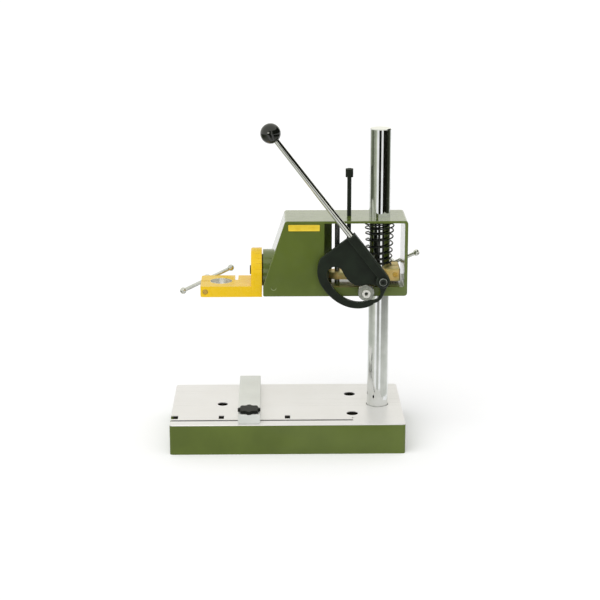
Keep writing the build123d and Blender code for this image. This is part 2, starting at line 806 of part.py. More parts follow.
# Tool holder: a round swivel flange, square below, and a split arm with the collar bore
with BuildPart() as tool_holder:
    with BuildSketch(Plane.YZ.offset(flange_left_x)):
        with Locations((0, swivel_z)):
            Circle(holder_radius)
        with Locations((0, swivel_z - holder_radius / 2)):
            Rectangle(2 * holder_radius, holder_radius)
    extrude(amount=holder_flange)
    fillet(tool_holder.faces().sort_by(Axis.X)[0].edges().sort_by(Axis.Z)[-1], flange_edge)
    with BuildSketch(Plane.XY.offset(holder_bottom_z)):
        with Locations(((holder_left_x + flange_left_x + holder_edge) / 2, 0)):
            Rectangle(flange_left_x + holder_edge - holder_left_x, 2 * holder_radius)
        fillet(vertices().group_by(Axis.X)[0], holder_corner)
    extrude(amount=holder_thickness)
    # bore, slit, relief notch and the screw's cross hole
    with Locations((tool_x, 0, holder_top_z)):
        Hole(radius=collar_radius)
    with BuildSketch(Plane.XY.offset(holder_bottom_z - overrun)):
        with Locations(((holder_left_x + tool_x) / 2 - overrun, 0)):
            Rectangle(tool_x - holder_left_x + overrun, holder_slit)
        with Locations((tool_x + notch_offset, (holder_radius + notch_root) / 2 + overrun)):
            Rectangle(notch_width, holder_radius - notch_root + 2 * overrun)
    extrude(amount=holder_thickness + 2 * overrun, mode=Mode.SUBTRACT)
    with BuildSketch(facing_front(holder_left_x + holder_screw_in, holder_radius + overrun, holder_mid_z)):
        Circle(clamp_screw_radius + clamp_screw_clearance)
    extrude(amount=2 * (holder_radius + overrun), mode=Mode.SUBTRACT)
    # swivel screw's clearance bore and its sunk seat
    with BuildSketch(Plane.YZ.offset(flange_left_x - overrun)):
        with Locations((0, swivel_z)):
            Circle(swivel_bore_radius + bore_clearance)
    extrude(amount=holder_flange + 2 * overrun, mode=Mode.SUBTRACT)
    seat_depth = swivel_head_height - swivel_head_proud + face_gap
    with BuildSketch(Plane.YZ.offset(flange_left_x - overrun)):
        with Locations((0, swivel_z)):
            Circle(swivel_head_radius + clamp_screw_clearance)
    extrude(amount=seat_depth + overrun, mode=Mode.SUBTRACT)
save(tool_holder, "tool_holder")

# Friction washer and socket screw of the swivel
with BuildPart() as swivel_washer:
    with BuildSketch(Plane.YZ.offset(washer_x)):
        with Locations((0, swivel_z)):
            Circle(swivel_washer_radius)
            Circle(swivel_bore_radius + bore_clearance, mode=Mode.SUBTRACT)
    extrude(amount=swivel_washer_thickness)
save(swivel_washer, "swivel_washer")

with BuildPart() as swivel_screw:
    with BuildSketch(Plane.YZ.offset(flange_left_x)):
        with Locations((0, swivel_z)):
            Circle(swivel_bore_radius)
    extrude(amount=holder_flange + swivel_washer_thickness + swivel_screw_grip)
    with BuildSketch(Plane.YZ.offset(flange_left_x - swivel_head_proud)):
        with Locations((0, swivel_z)):
            Circle(swivel_head_radius)
    extrude(amount=swivel_head_height)
    with BuildSketch(Plane.YZ.offset(flange_left_x - swivel_head_proud)):
        with Locations((0, swivel_z)):
            RegularPolygon(swivel_socket, 6)
    extrude(amount=swivel_socket_depth, mode=Mode.SUBTRACT)
save(swivel_screw, "swivel_screw")


def clamp_screw(name, x, z, seat_y, tip_y, tilt):
    # a plain screw along Y, with a round head behind its seat that is bored for the cross bar
    bar_y = seat_y + clamp_head_length / 2
    across = (cos(radians(tilt)), 0, sin(radians(tilt)))
    with BuildPart() as screw:
        with BuildSketch(facing_front(x, seat_y, z)):
            Circle(clamp_screw_radius)
        extrude(amount=seat_y - tip_y)
        with BuildSketch(facing_front(x, seat_y + clamp_head_length, z)):
            Circle(clamp_head_radius)
        extrude(amount=clamp_head_length)
        chamfer(screw.faces().sort_by(Axis.Y)[-1].edges(), length=clamp_head_chamfer)
        with BuildSketch(Plane(origin=(x, bar_y, z), z_dir=across)):
            Circle(clamp_bar_radius + bore_clearance)
        extrude(amount=clamp_head_radius + overrun, both=True, mode=Mode.SUBTRACT)
    save(screw, name + "_clamp_screw")
    with BuildPart() as bar:
        with BuildSketch(Plane(origin=(x, bar_y, z), z_dir=across)):
            Circle(clamp_bar_radius)
        extrude(amount=clamp_bar_length / 2, both=True)
    save(bar, name + "_clamp_bar")
    # the end balls are pressed on, with a flat where each meets its bar
    ball_out = clamp_bar_length / 2 + (clamp_ball_radius**2 - clamp_bar_radius**2) ** 0.5
    with BuildPart() as balls:
        for side in (-1, 1):
            middle = (x + side * ball_out * across[0], bar_y, z + side * ball_out * across[2])
            toward = (side * across[0], 0, side * across[2])
            with Locations(Plane(origin=middle, z_dir=toward)):
                Sphere(clamp_ball_radius)
            bar_end = side * clamp_bar_length / 2
            face = (x + bar_end * across[0], bar_y, z + bar_end * across[2])
            with BuildSketch(Plane(origin=face, z_dir=toward)):
                Circle(clamp_ball_radius)
            extrude(amount=-clamp_ball_radius, mode=Mode.SUBTRACT)
    save(balls, name + "_bar_balls")


clamp_screw(
    "holder",
    holder_left_x + holder_screw_in,
    holder_mid_z,
    holder_radius + slide_gap,
    clamp_tip_inset - holder_radius,
    holder_bar_tilt,
)
clamp_screw(
    "column",
    block_right_x - block_screw_in,
    block_mid_z,
    head_depth / 2 + head_pass,
    clamp_tip_inset - block_width / 2,
    column_bar_tilt,
)

# Return spring: one tapering coil of round wire, each quarter turn made of two tangent arcs
spring_low_z = block_top_z + spring_seat_gap + wire_radius
spring_high_z = roof_boss_z - spring_seat_gap - wire_radius
spring_rise = spring_high_z - spring_low_z


def spring_point(turns):
    # the wire's middle after so many turns, closer wound towards both ends
    share = turns / spring_turns
    climb = share - spring_end_share * sin(2 * pi * share) / (2 * pi)
    radius = spring_bottom_radius + (spring_top_radius - spring_bottom_radius) * share
    angle = 2 * pi * turns
    return Vector(column_x + radius * cos(angle), radius * sin(angle), spring_low_z + spring_rise * climb)


def spring_heading(turns):
    # the way the wire runs there
    ahead = spring_point(turns + spring_step_share)
    behind = spring_point(turns - spring_step_share)
    return (ahead - behind).normalized()


def two_arcs(start, heading, end, exit_heading):
    # where two arcs that leave and arrive along the given headings meet
    chord = end - start
    both = heading + exit_heading
    spread = 2 * (1 - heading.dot(exit_heading))
    reach = chord.dot(both)
    size = ((reach**2 + spread * chord.dot(chord)) ** 0.5 - reach) / spread
    return (start + end + (heading - exit_heading) * size) / 2


quarter_count = spring_turns * quarter_steps
with BuildPart() as feed_spring:
    with BuildLine() as wire_path:
        first = spring_point(0)
        first_heading = spring_heading(0)
        Line(first - first_heading * 2 * wire_radius, first)
        for n in range(quarter_count):
            a = spring_point(n / quarter_steps)
            b = spring_point((n + 1) / quarter_steps)
            ha = spring_heading(n / quarter_steps)
            hb = spring_heading((n + 1) / quarter_steps)
            middle = two_arcs(a, ha, b, hb)
            joint_arc = TangentArc(a, middle, tangent=ha)
            TangentArc(middle, b, tangent=joint_arc % 1)
        last = spring_point(spring_turns)
        Line(last, last + spring_heading(spring_turns) * 2 * wire_radius)
    with BuildSketch(Plane(origin=wire_path.line @ 0, z_dir=wire_path.line % 0)):
        Circle(wire_radius)
    sweep()
save(feed_spring, "feed_spring")

# the coil's least gap to itself, measured on points along the wire
samples = [spring_point(n / spring_samples) for n in range(spring_turns * spring_samples + 1)]
least = min(
    (samples[i] - samples[j]).length
    for i in range(len(samples))
    for j in range(i + spring_samples // 2, min(i + 2 * spring_samples, len(samples)))
)
print("least gap of the spring to itself:", round(least - 2 * wire_radius, 3), "mm")
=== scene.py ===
import math

import bpy
import numpy as np
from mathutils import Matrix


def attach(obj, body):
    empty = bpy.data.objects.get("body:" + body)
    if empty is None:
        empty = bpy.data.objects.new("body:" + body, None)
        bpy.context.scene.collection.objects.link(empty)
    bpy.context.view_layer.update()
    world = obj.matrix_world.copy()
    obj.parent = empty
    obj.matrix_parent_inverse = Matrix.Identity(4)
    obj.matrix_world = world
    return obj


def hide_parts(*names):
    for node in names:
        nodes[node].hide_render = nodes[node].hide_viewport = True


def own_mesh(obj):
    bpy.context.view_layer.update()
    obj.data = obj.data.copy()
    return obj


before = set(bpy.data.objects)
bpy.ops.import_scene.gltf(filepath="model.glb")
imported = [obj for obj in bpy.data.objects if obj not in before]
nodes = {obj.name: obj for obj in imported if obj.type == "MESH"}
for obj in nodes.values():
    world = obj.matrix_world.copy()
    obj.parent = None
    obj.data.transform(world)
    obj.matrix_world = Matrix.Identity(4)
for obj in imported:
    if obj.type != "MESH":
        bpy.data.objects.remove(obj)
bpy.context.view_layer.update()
print("frame loaded,", len(nodes), "nodes")

mm = 0.001
enamelIOR = 1.5  # baked enamel, phenolic and a skin of black oxide bend light about alike
grainSpread = (0.3, 0.7)  # nearly all of a fine noise lies between these


def hexColour(text):
    # sRGB to linear: c / 12.92 up to 0.04045, and ((c + 0.055) / 1.055) to the power 2.4 above it
    channels = [int(text[i:i + 2], 16) / 255 for i in (1, 3, 5)]
    linear = [c / 12.92 if c <= 0.04045 else ((c + 0.055) / 1.055) ** 2.4 for c in channels]
    return (*linear, 1.0)


def addNode(tree, kind, settings=None, links=None):
    # settings are attributes or input values; links give the node, or one output of it, that feeds an input.
    # A Mix node goes by numbers: 0 is its share, 2 and 3 are its values, 6 and 7 its colours.
    node = tree.nodes.new(kind)
    for name, value in (settings or {}).items():
        if isinstance(name, int) or name in node.inputs:
            node.inputs[name].default_value = value
        else:
            setattr(node, name, value)
    for name, source in (links or {}).items():
        tree.links.new(getattr(source, "outputs", [source])[0], node.inputs[name])
    return node


def newMaterial(name):
    # an empty tree and the object's own coordinates, which are metres in the shared frame
    material = bpy.data.materials.new(name)
    material.use_nodes = True
    tree = material.node_tree
    tree.nodes.clear()
    return material, tree, addNode(tree, "ShaderNodeTexCoord").outputs["Object"]


def spreadNoise(tree, place, size, detail, spread, ends=(0, 1)):
    # noise with clouds size mm wide, and the same with the two values of its spread carried to the ends
    noise = addNode(tree, "ShaderNodeTexNoise", {"Scale": 1 / (size * mm), "Detail": detail},
                    {"Vector": place})
    (low, high), (first, last) = spread, ends
    share = addNode(tree, "ShaderNodeMapRange",
                    {"From Min": low, "From Max": high, "To Min": first, "To Max": last}, {"Value": noise})
    return noise, share


def cloudedColour(tree, place, look):
    # the look's two colours, mixed in soft clouds
    share = spreadNoise(tree, place, look["cloud"], look["cloudDetail"], look["cloudSpread"])[1]
    first, second = (hexColour(colour) for colour in look["colours"])
    return addNode(tree, "ShaderNodeMix", {"data_type": "RGBA", 6: first, 7: second}, {0: share}).outputs[2]


def grainedSurface(tree, place, look):
    # fine grain as a height, and the roughness between the look's two that goes with it
    return spreadNoise(tree, place, look["grain"], look["grainDetail"], grainSpread, look["roughness"])


def closeMaterial(tree, settings, links, height=None, depth=1.0):
    # the shader and the output; a height from 0 to 1 stands for depth in mm
    if height is not None:
        bump = addNode(tree, "ShaderNodeBump", {"Distance": depth * mm}, {"Height": height})
        links = {**links, "Normal": bump}
    shader = addNode(tree, "ShaderNodeBsdfPrincipled", settings, links)
    addNode(tree, "ShaderNodeOutputMaterial", links={"Surface": shader})


# Olive enamel, sprayed thick on cast iron and stoved: glossy, with a faint orange peel and soft clouds.
# The head's has a clear layer on top, and the base's is a little duller.
paint = {"colours": ("#536125", "#5b6a29"), "cloud": 38, "cloudDetail": 3, "cloudSpread": (0.35, 0.65),
         "grain": 9, "grainDetail": 3, "roughness": (0.16, 0.26), "peel": 1.6, "peelDetail": 1,
         "peelDepth": 0.004, "gloss": 0.5, "coat": 0.7, "coatRoughness": 0.1, "baseGloss": 0.34}
# the small round mark low on the head's front: a painted highlight lies pale on its lower rim
ring = {"middle": (-12.5, -25.0, 151.5), "radius": 2.4, "halfWidth": 0.3, "paleFrom": 0.5, "paleTo": -1.5,
        "thin": "#8b9663"}


def sprayedCoat(tree, place):
    # colour, roughness and relief in mm of the enamel, shared by the head and the base
    colour = cloudedColour(tree, place, paint)
    rough = grainedSurface(tree, place, paint)[1]
    peel = addNode(tree, "ShaderNodeTexNoise",
                   {"Scale": 1 / (paint["peel"] * mm), "Detail": paint["peelDetail"]}, {"Vector": place})
    relief = addNode(tree, "ShaderNodeMath", {"operation": "MULTIPLY", 1: paint["peelDepth"]}, {0: peel})
    return colour, rough, relief


def oliveEnamel():
    material, tree, place = newMaterial("oliveEnamel")
    colour, rough, relief = sprayedCoat(tree, place)
    # painted highlight: the pale lower rim of the small round mark
    middle = tuple(v * mm for v in ring["middle"])
    off = addNode(tree, "ShaderNodeVectorMath", {"operation": "SUBTRACT", 1: middle}, {0: place})
    away = addNode(tree, "ShaderNodeVectorMath", {"operation": "LENGTH"}, {0: off}).outputs["Value"]
    rim = addNode(tree, "ShaderNodeMath",
                  {"operation": "COMPARE", 1: ring["radius"] * mm, 2: ring["halfWidth"] * mm}, {0: away})
    up = addNode(tree, "ShaderNodeSeparateXYZ", links={0: off}).outputs[2]
    lower = addNode(tree, "ShaderNodeMapRange",
                    {"From Min": ring["paleFrom"] * mm, "From Max": ring["paleTo"] * mm}, {"Value": up})
    paintedHighlight = addNode(tree, "ShaderNodeMath", {"operation": "MULTIPLY"}, {0: rim, 1: lower})
    ringed = addNode(tree, "ShaderNodeMix", {"data_type": "RGBA", 7: hexColour(ring["thin"])},
                     {0: paintedHighlight, 6: colour}).outputs[2]
    closeMaterial(tree, {"IOR": enamelIOR, "Specular IOR Level": paint["gloss"], "Coat Weight": paint["coat"],
                         "Coat Roughness": paint["coatRoughness"]},
                  {"Base Color": ringed, "Roughness": rough}, relief)
    return material


# Planed iron on the base's deck, pale and satin: the cutter's long fine lines run along the base.
# Real ones are about 0.1 mm apart and would not show, so they are drawn 0.5 mm apart.
deck = {"colours": ("#ebe9ea", "#e6e4e4"), "cloud": 45, "cloudDetail": 3, "cloudSpread": (0.35, 0.7),
        "metal": 0.6, "grain": 0.5, "grainDetail": 2, "stretch": 2000, "lineDepth": 0.0015,
        "roughness": (0.27, 0.35), "from": 28.25, "to": 28.35}
# painted shade: what is sunk into the deck, the groove, the marks and the holes, is painted dark
sunk = {"colour": "#211f19", "from": 20.0, "farX": 108.0, "farY": 58.6}


def enamelAndPlanedIron():
    material, tree, place = newMaterial("oliveEnamelPlanedIron")
    colour, rough, relief = sprayedCoat(tree, place)
    x, y, z = addNode(tree, "ShaderNodeSeparateXYZ", links={0: place}).outputs
    # the deck is what lies above the foot of the casting's upper chamfer
    bare = addNode(tree, "ShaderNodeMapRange", {"From Min": deck["from"] * mm, "From Max": deck["to"] * mm},
                   {"Value": z})
    inside = addNode(tree, "ShaderNodeMath", {"operation": "GREATER_THAN", 1: sunk["from"] * mm}, {0: z})
    for along, far in ((x, sunk["farX"]), (y, sunk["farY"])):
        off = addNode(tree, "ShaderNodeMath", {"operation": "ABSOLUTE"}, {0: along})
        within = addNode(tree, "ShaderNodeMath", {"operation": "LESS_THAN", 1: far * mm}, {0: off})
        inside = addNode(tree, "ShaderNodeMath", {"operation": "MULTIPLY"}, {0: inside, 1: within})
    # painted shade inside the groove, the marks and the holes below the deck
    oiled = addNode(tree, "ShaderNodeMix", {"data_type": "RGBA", 7: hexColour(sunk["colour"])},
                    {0: inside, 6: colour}).outputs[2]
    stretched = addNode(tree, "ShaderNodeMapping", {"Scale": (1 / deck["stretch"], 1, 1)}, {"Vector": place})
    lines, grain = grainedSurface(tree, stretched, deck)
    iron = cloudedColour(tree, place, deck)
    cut = addNode(tree, "ShaderNodeMath", {"operation": "MULTIPLY", 1: deck["lineDepth"]}, {0: lines})
    finalColour = addNode(tree, "ShaderNodeMix", {"data_type": "RGBA"},
                          {0: bare, 6: oiled, 7: iron}).outputs[2]
    finalRough = addNode(tree, "ShaderNodeMix", links={0: bare, 2: rough, 3: grain})
    finalRelief = addNode(tree, "ShaderNodeMix", links={0: bare, 2: relief, 3: cut})
    metal = addNode(tree, "ShaderNodeMath", {"operation": "MULTIPLY", 1: deck["metal"]}, {0: bare})
    closeMaterial(tree, {"IOR": enamelIOR, "Specular IOR Level": paint["baseGloss"]},
                  {"Base Color": finalColour, "Metallic": metal, "Roughness": finalRough}, finalRelief)
    return material


# Bright hard chrome over a ground bar: a mirror with a light haze and very fine marks round it.
# The grinding marks of a real bar are microns apart, so they are drawn 0.35 mm apart.
# The bar's sawn and faced ends, which look straight up or down, are satin; the small parts have none.
chromedBarLook = {"colours": ("#e3e5e5", "#d3d6d4"), "cloud": 12, "cloudDetail": 3,
                  "cloudSpread": (0.35, 0.7), "grain": 0.35, "grainDetail": 2, "stretch": (1, 1, 4),
                  "depth": 0.001, "roughness": (0.04, 0.1), "level": 0.98, "endColour": "#fafaf7",
                  "endRoughness": 0.4}
chromedPinLook = {**chromedBarLook, "colours": ("#d6d7d2", "#c2c4be"), "stretch": (1, 1, 1),
                  "roughness": (0.03, 0.09), "endColour": "#d6d7d2", "endRoughness": 0.05}


def polishedChrome(name, look):
    material, tree, place = newMaterial(name)
    stretched = addNode(tree, "ShaderNodeMapping", {"Scale": look["stretch"]}, {"Vector": place})
    marks, rough = grainedSurface(tree, stretched, look)
    faces = addNode(tree, "ShaderNodeNewGeometry").outputs["True Normal"]
    rise = addNode(tree, "ShaderNodeSeparateXYZ", links={0: faces}).outputs[2]
    steep = addNode(tree, "ShaderNodeMath", {"operation": "ABSOLUTE"}, {0: rise})
    end = addNode(tree, "ShaderNodeMath", {"operation": "GREATER_THAN", 1: look["level"]}, {0: steep})
    finalRough = addNode(tree, "ShaderNodeMix", {3: look["endRoughness"]}, {0: end, 2: rough})
    finalColour = addNode(tree, "ShaderNodeMix", {"data_type": "RGBA", 7: hexColour(look["endColour"])},
                          {0: end, 6: cloudedColour(tree, place, look)}).outputs[2]
    closeMaterial(tree, {"Metallic": 1.0}, {"Base Color": finalColour, "Roughness": finalRough},
                  marks, look["depth"])
    return material


# Turned and ground steel: grey, fairly bright, with a thin film of oil that leaves darker clouds
steelLook = {"colours": ("#8d8f8d", "#6f7170"), "cloud": 4, "cloudDetail": 3, "cloudSpread": (0.35, 0.7),
             "grain": 0.3, "grainDetail": 2, "depth": 0.002, "roughness": (0.22, 0.38)}
bearingLook = {**steelLook, "colours": ("#c4c6c1", "#8f918b"), "roughness": (0.18, 0.34)}
shieldLook = {**steelLook, "colours": ("#b3b6ae", "#8a8d85"), "cloud": 3, "roughness": (0.34, 0.5)}
# the bolt is plated bright, and what lies close to its axis is its hexagon socket, painted dark as shade
boltLook = {**steelLook, "colours": ("#fafaf6", "#e8e8e3"), "cloud": 3, "roughness": (0.36, 0.52),
            "axisX": 73.2, "axisZ": 148.3, "socket": 1.6, "oil": "#54564f"}


def groundSteel(name, look):
    material, tree, place = newMaterial(name)
    colour = cloudedColour(tree, place, look)
    # painted shade: the bolt's hexagon socket is darkened near its axis
    if "socket" in look:
        axis = (look["axisX"] * mm, 0, look["axisZ"] * mm)
        flat = addNode(tree, "ShaderNodeVectorMath", {"operation": "MULTIPLY", 1: (1, 0, 1)}, {0: place})
        away = addNode(tree, "ShaderNodeVectorMath", {"operation": "DISTANCE", 1: axis}, {0: flat})
        inside = addNode(tree, "ShaderNodeMath", {"operation": "LESS_THAN", 1: look["socket"] * mm},
                         {0: away.outputs["Value"]})
        colour = addNode(tree, "ShaderNodeMix", {"data_type": "RGBA", 7: hexColour(look["oil"])},
                         {0: inside, 6: colour}).outputs[2]
    marks, rough = grainedSurface(tree, place, look)
    closeMaterial(tree, {"Metallic": 1.0}, {"Base Color": colour, "Roughness": rough}, marks, look["depth"])
    return material


# The clamp screws are turned steel: their heads behind are polished bright, their threads in front
# chromated yellow, and both are a little darker in clouds
clampLook = {"head": "#d9dad7", "thread": "#e6bd5c", "threadTo": 12.0, "cloud": 3, "cloudDetail": 3,
             "cloudSpread": (0.35, 0.65), "darkest": 0.82, "grain": 0.4, "grainDetail": 2, "depth": 0.002,
             "roughness": (0.15, 0.32)}


def clampScrewSteel():
    material, tree, place = newMaterial("turnedScrewSteel")
    y = addNode(tree, "ShaderNodeSeparateXYZ", links={0: place}).outputs[1]
    behind = addNode(tree, "ShaderNodeMath",
                     {"operation": "GREATER_THAN", 1: clampLook["threadTo"] * mm}, {0: y})
    colour = addNode(tree, "ShaderNodeMix", {"data_type": "RGBA", 6: hexColour(clampLook["thread"]),
                                             7: hexColour(clampLook["head"])}, {0: behind}).outputs[2]
    value = spreadNoise(tree, place, clampLook["cloud"], clampLook["cloudDetail"], clampLook["cloudSpread"],
                        (clampLook["darkest"], 1))[1]
    shaded = addNode(tree, "ShaderNodeHueSaturation", links={"Color": colour, "Value": value})
    grit, rough = grainedSurface(tree, place, clampLook)
    closeMaterial(tree, {"Metallic": 1.0}, {"Base Color": shaded, "Roughness": rough},
                  grit, clampLook["depth"])
    return material


# Steel blacked in a hot salt bath: an oxide skin, nearly black and faintly green, satin with a dry bloom.
# A painted highlight lies in patches on the faces that slope towards the viewer, the chamfers among them; on
# the small screw it is pale as bright steel.
blackLook = {"colours": ("#131911", "#1a2318"), "cloud": 14, "cloudDetail": 4, "cloudSpread": (0.35, 0.68),
             "grain": 0.8, "grainDetail": 3, "depth": 0.008, "roughness": (0.3, 0.45), "gloss": 0.22,
             "paintedHighlight": "#20281f", "slope": -0.7, "slopeSpan": 0.2, "highlightCloud": 5, "highlightCloudDetail": 3,
             "highlightCloudSpread": (0.3, 0.6), "leastHighlight": 0.35}
screwLook = {**blackLook, "cloud": 5, "roughness": (0.24, 0.39), "gloss": 0.4, "paintedHighlight": "#c0c5bc"}
wireLook = {**blackLook, "colours": ("#101412", "#191e1b"), "cloud": 9, "grain": 0.5, "depth": 0.004,
            "roughness": (0.2, 0.35), "gloss": 0.5, "paintedHighlight": "#191e1b"}


def blackedSteel(name, look):
    material, tree, place = newMaterial(name)
    faces = addNode(tree, "ShaderNodeNewGeometry").outputs["True Normal"]
    toUser = addNode(tree, "ShaderNodeSeparateXYZ", links={0: faces}).outputs[1]
    # painted highlight: faces turned towards the viewer are lightened in patches
    sloping = addNode(tree, "ShaderNodeMath",
                      {"operation": "COMPARE", 1: look["slope"], 2: look["slopeSpan"]}, {0: toUser})
    highlightClouds = spreadNoise(tree, place, look["highlightCloud"], look["highlightCloudDetail"], look["highlightCloudSpread"],
                         (look["leastHighlight"], 1))[1]
    highlightShare = addNode(tree, "ShaderNodeMath", {"operation": "MULTIPLY"}, {0: sloping, 1: highlightClouds})
    colour = addNode(tree, "ShaderNodeMix", {"data_type": "RGBA", 7: hexColour(look["paintedHighlight"])},
                     {0: highlightShare, 6: cloudedColour(tree, place, look)}).outputs[2]
    grit, rough = grainedSurface(tree, place, look)
    closeMaterial(tree, {"IOR": enamelIOR, "Specular IOR Level": look["gloss"]},
                  {"Base Color": colour, "Roughness": rough}, grit, look["depth"])
    return material


# Yellow enamel, stoved on the cast holder: smooth and glossy; the collar's bore is machined bare afterwards
holder = {"colours": ("#e7be00", "#e9c000"), "cloud": 22, "cloudDetail": 3, "cloudSpread": (0.35, 0.65),
          "gloss": 0.45, "grain": 7, "grainDetail": 3, "roughness": (0.22, 0.33), "peel": 1.4,
          "peelDetail": 1, "peelDepth": 0.005, "bore": 10.35, "centreX": -62.0, "bright": "#f2f1ec"}
# faint angle marks are rolled into the upper half of the flange's rim, one to each step in degrees
ticks = {"swivelZ": 162.7, "rimRadius": 20.6, "rimFrom": -29.0, "step": 15.0, "width": 0.35,
         "colour": "#cfa005"}


def yellowEnamel():
    material, tree, place = newMaterial("stovedYellowEnamel")
    x, y, z = addNode(tree, "ShaderNodeSeparateXYZ", links={0: place}).outputs
    # the bore's wall is whatever lies within its radius of the collar's axis
    offX = addNode(tree, "ShaderNodeMath", {"operation": "SUBTRACT", 1: holder["centreX"] * mm}, {0: x})
    flat = addNode(tree, "ShaderNodeCombineXYZ", links={0: offX, 1: y})
    reach = addNode(tree, "ShaderNodeVectorMath", {"operation": "LENGTH"}, {0: flat}).outputs["Value"]
    bare = addNode(tree, "ShaderNodeMath", {"operation": "LESS_THAN", 1: holder["bore"] * mm}, {0: reach})
    # the turn about the swivel in steps, less its nearest whole number, is small close to each mark
    offZ = addNode(tree, "ShaderNodeMath", {"operation": "SUBTRACT", 1: ticks["swivelZ"] * mm}, {0: z})
    side = addNode(tree, "ShaderNodeCombineXYZ", links={1: y, 2: offZ})
    out = addNode(tree, "ShaderNodeVectorMath", {"operation": "LENGTH"}, {0: side}).outputs["Value"]
    turn = addNode(tree, "ShaderNodeMath", {"operation": "ARCTAN2"}, {0: y, 1: offZ})
    step = math.radians(ticks["step"])
    steps = addNode(tree, "ShaderNodeMath", {"operation": "DIVIDE", 1: step}, {0: turn})
    whole = addNode(tree, "ShaderNodeMath", {"operation": "ROUND"}, {0: steps})
    part = addNode(tree, "ShaderNodeMath", {"operation": "SUBTRACT"}, {0: steps, 1: whole})
    away = addNode(tree, "ShaderNodeMath", {"operation": "ABSOLUTE"}, {0: part})
    halfWidth = ticks["width"] / 2 / (ticks["rimRadius"] * step)
    tick = addNode(tree, "ShaderNodeMath", {"operation": "LESS_THAN", 1: halfWidth}, {0: away})
    for measure, least in ((out, ticks["rimRadius"]), (x, ticks["rimFrom"]), (offZ, 0)):
        past = addNode(tree, "ShaderNodeMath", {"operation": "GREATER_THAN", 1: least * mm}, {0: measure})
        tick = addNode(tree, "ShaderNodeMath", {"operation": "MULTIPLY"}, {0: tick, 1: past})
    marked = addNode(tree, "ShaderNodeMix", {"data_type": "RGBA", 7: hexColour(ticks["colour"])},
                     {0: tick, 6: cloudedColour(tree, place, holder)}).outputs[2]
    finalColour = addNode(tree, "ShaderNodeMix", {"data_type": "RGBA", 7: hexColour(holder["bright"])},
                          {0: bare, 6: marked}).outputs[2]
    rough = grainedSurface(tree, place, holder)[1]
    peel = addNode(tree, "ShaderNodeTexNoise",
                   {"Scale": 1 / (holder["peel"] * mm), "Detail": holder["peelDetail"]}, {"Vector": place})
    closeMaterial(tree, {"IOR": enamelIOR, "Specular IOR Level": holder["gloss"]},
                  {"Base Color": finalColour, "Metallic": bare, "Roughness": rough},
                  peel, holder["peelDepth"])
    return material


# Zinc plate dipped in yellow chromate: brassy, with brown and greenish clouds where the film is thicker
chromateLook = {"colours": ("#f6d68c", "#dcb66c"), "cloud": 6, "cloudDetail": 4, "cloudSpread": (0.35, 0.65),
                "green": "#d2c884", "greenCloud": 11, "greenDetail": 3, "greenSpread": (0.42, 0.62),
                "grain": 0.7, "grainDetail": 2, "depth": 0.006, "roughness": (0.39, 0.53), "metal": 0.65}


def yellowChromate():
    material, tree, place = newMaterial("yellowChromatedZinc")
    look = chromateLook
    hue = spreadNoise(tree, place, look["greenCloud"], look["greenDetail"], look["greenSpread"])[1]
    colour = addNode(tree, "ShaderNodeMix", {"data_type": "RGBA", 7: hexColour(look["green"])},
                     {0: hue, 6: cloudedColour(tree, place, look)}).outputs[2]
    grit, rough = grainedSurface(tree, place, look)
    closeMaterial(tree, {"Metallic": look["metal"]}, {"Base Color": colour, "Roughness": rough},
                  grit, look["depth"])
    return material


# Clear anodised aluminium bar, drawn and brushed along its length: pale and satin, with long fine lines.
# Real brushing is finer than 0.1 mm, so its lines are drawn 0.35 mm apart.
fenceLook = {"colours": ("#dddfdb", "#d6d8d4"), "cloud": 30, "cloudDetail": 2, "cloudSpread": (0.35, 0.65),
             "grain": 0.35, "grainDetail": 2, "stretch": 90, "depth": 0.004, "roughness": (0.33, 0.48),
             "metal": 0.35}


def anodisedAluminium():
    material, tree, place = newMaterial("anodisedAluminium")
    stretched = addNode(tree, "ShaderNodeMapping", {"Scale": (1, 1 / fenceLook["stretch"], 1)},
                        {"Vector": place})
    lines, rough = grainedSurface(tree, stretched, fenceLook)
    closeMaterial(tree, {"Metallic": fenceLook["metal"]},
                  {"Base Color": cloudedColour(tree, place, fenceLook), "Roughness": rough},
                  lines, fenceLook["depth"])
    return material


# Phenolic mouldings, near black: the ball polished like glass, the thumb nut finely matt from its mould
ballLook = {"colour": "#121410", "cloud": 8, "cloudDetail": 3, "cloudSpread": (0.35, 0.65), "darkest": 0.85,
            "grain": 3.0, "grainDetail": 2, "depth": 0.004, "roughness": (0.0765, 0.108), "gloss": 0.7}
knobLook = {**ballLook, "colour": "#10130c", "grain": 0.5, "depth": 0.03, "roughness": (0.425, 0.6),
            "gloss": 0.22}


def mouldedPhenolic(name, look):
    material, tree, place = newMaterial(name)
    value = spreadNoise(tree, place, look["cloud"], look["cloudDetail"], look["cloudSpread"],
                        (look["darkest"], 1))[1]
    colour = addNode(tree, "ShaderNodeHueSaturation", {"Color": hexColour(look["colour"])}, {"Value": value})
    grit, rough = grainedSurface(tree, place, look)
    closeMaterial(tree, {"IOR": enamelIOR, "Specular IOR Level": look["gloss"]},
                  {"Base Color": colour, "Roughness": rough}, grit, look["depth"])
    return material


# Thin aluminium plate under a yellow lacquer: bright, with a soft metallic sheen
foilLook = {"colours": ("#f3d53c", "#ebc930"), "cloud": 5, "cloudDetail": 3, "cloudSpread": (0.35, 0.65),
            "grain": 0.6, "grainDetail": 2, "roughness": (0.29, 0.41), "metal": 0.3}


def yellowFoil():
    material, tree, place = newMaterial("yellowLacqueredPlate")
    rough = grainedSurface(tree, place, foilLook)[1]
    closeMaterial(tree, {"Metallic": foilLook["metal"], "IOR": enamelIOR},
                  {"Base Color": cloudedColour(tree, place, foilLook), "Roughness": rough})
    return material


olive = oliveEnamel()
pinChrome = polishedChrome("chromedSmallParts", chromedPinLook)
steel = groundSteel("groundSteel", steelLook)
ringSteel = groundSteel("bearingSteel", bearingLook)
screwSteel = clampScrewSteel()
black = blackedSteel("blackedSteel", blackLook)
blackWire = blackedSteel("blackedSpringWire", wireLook)

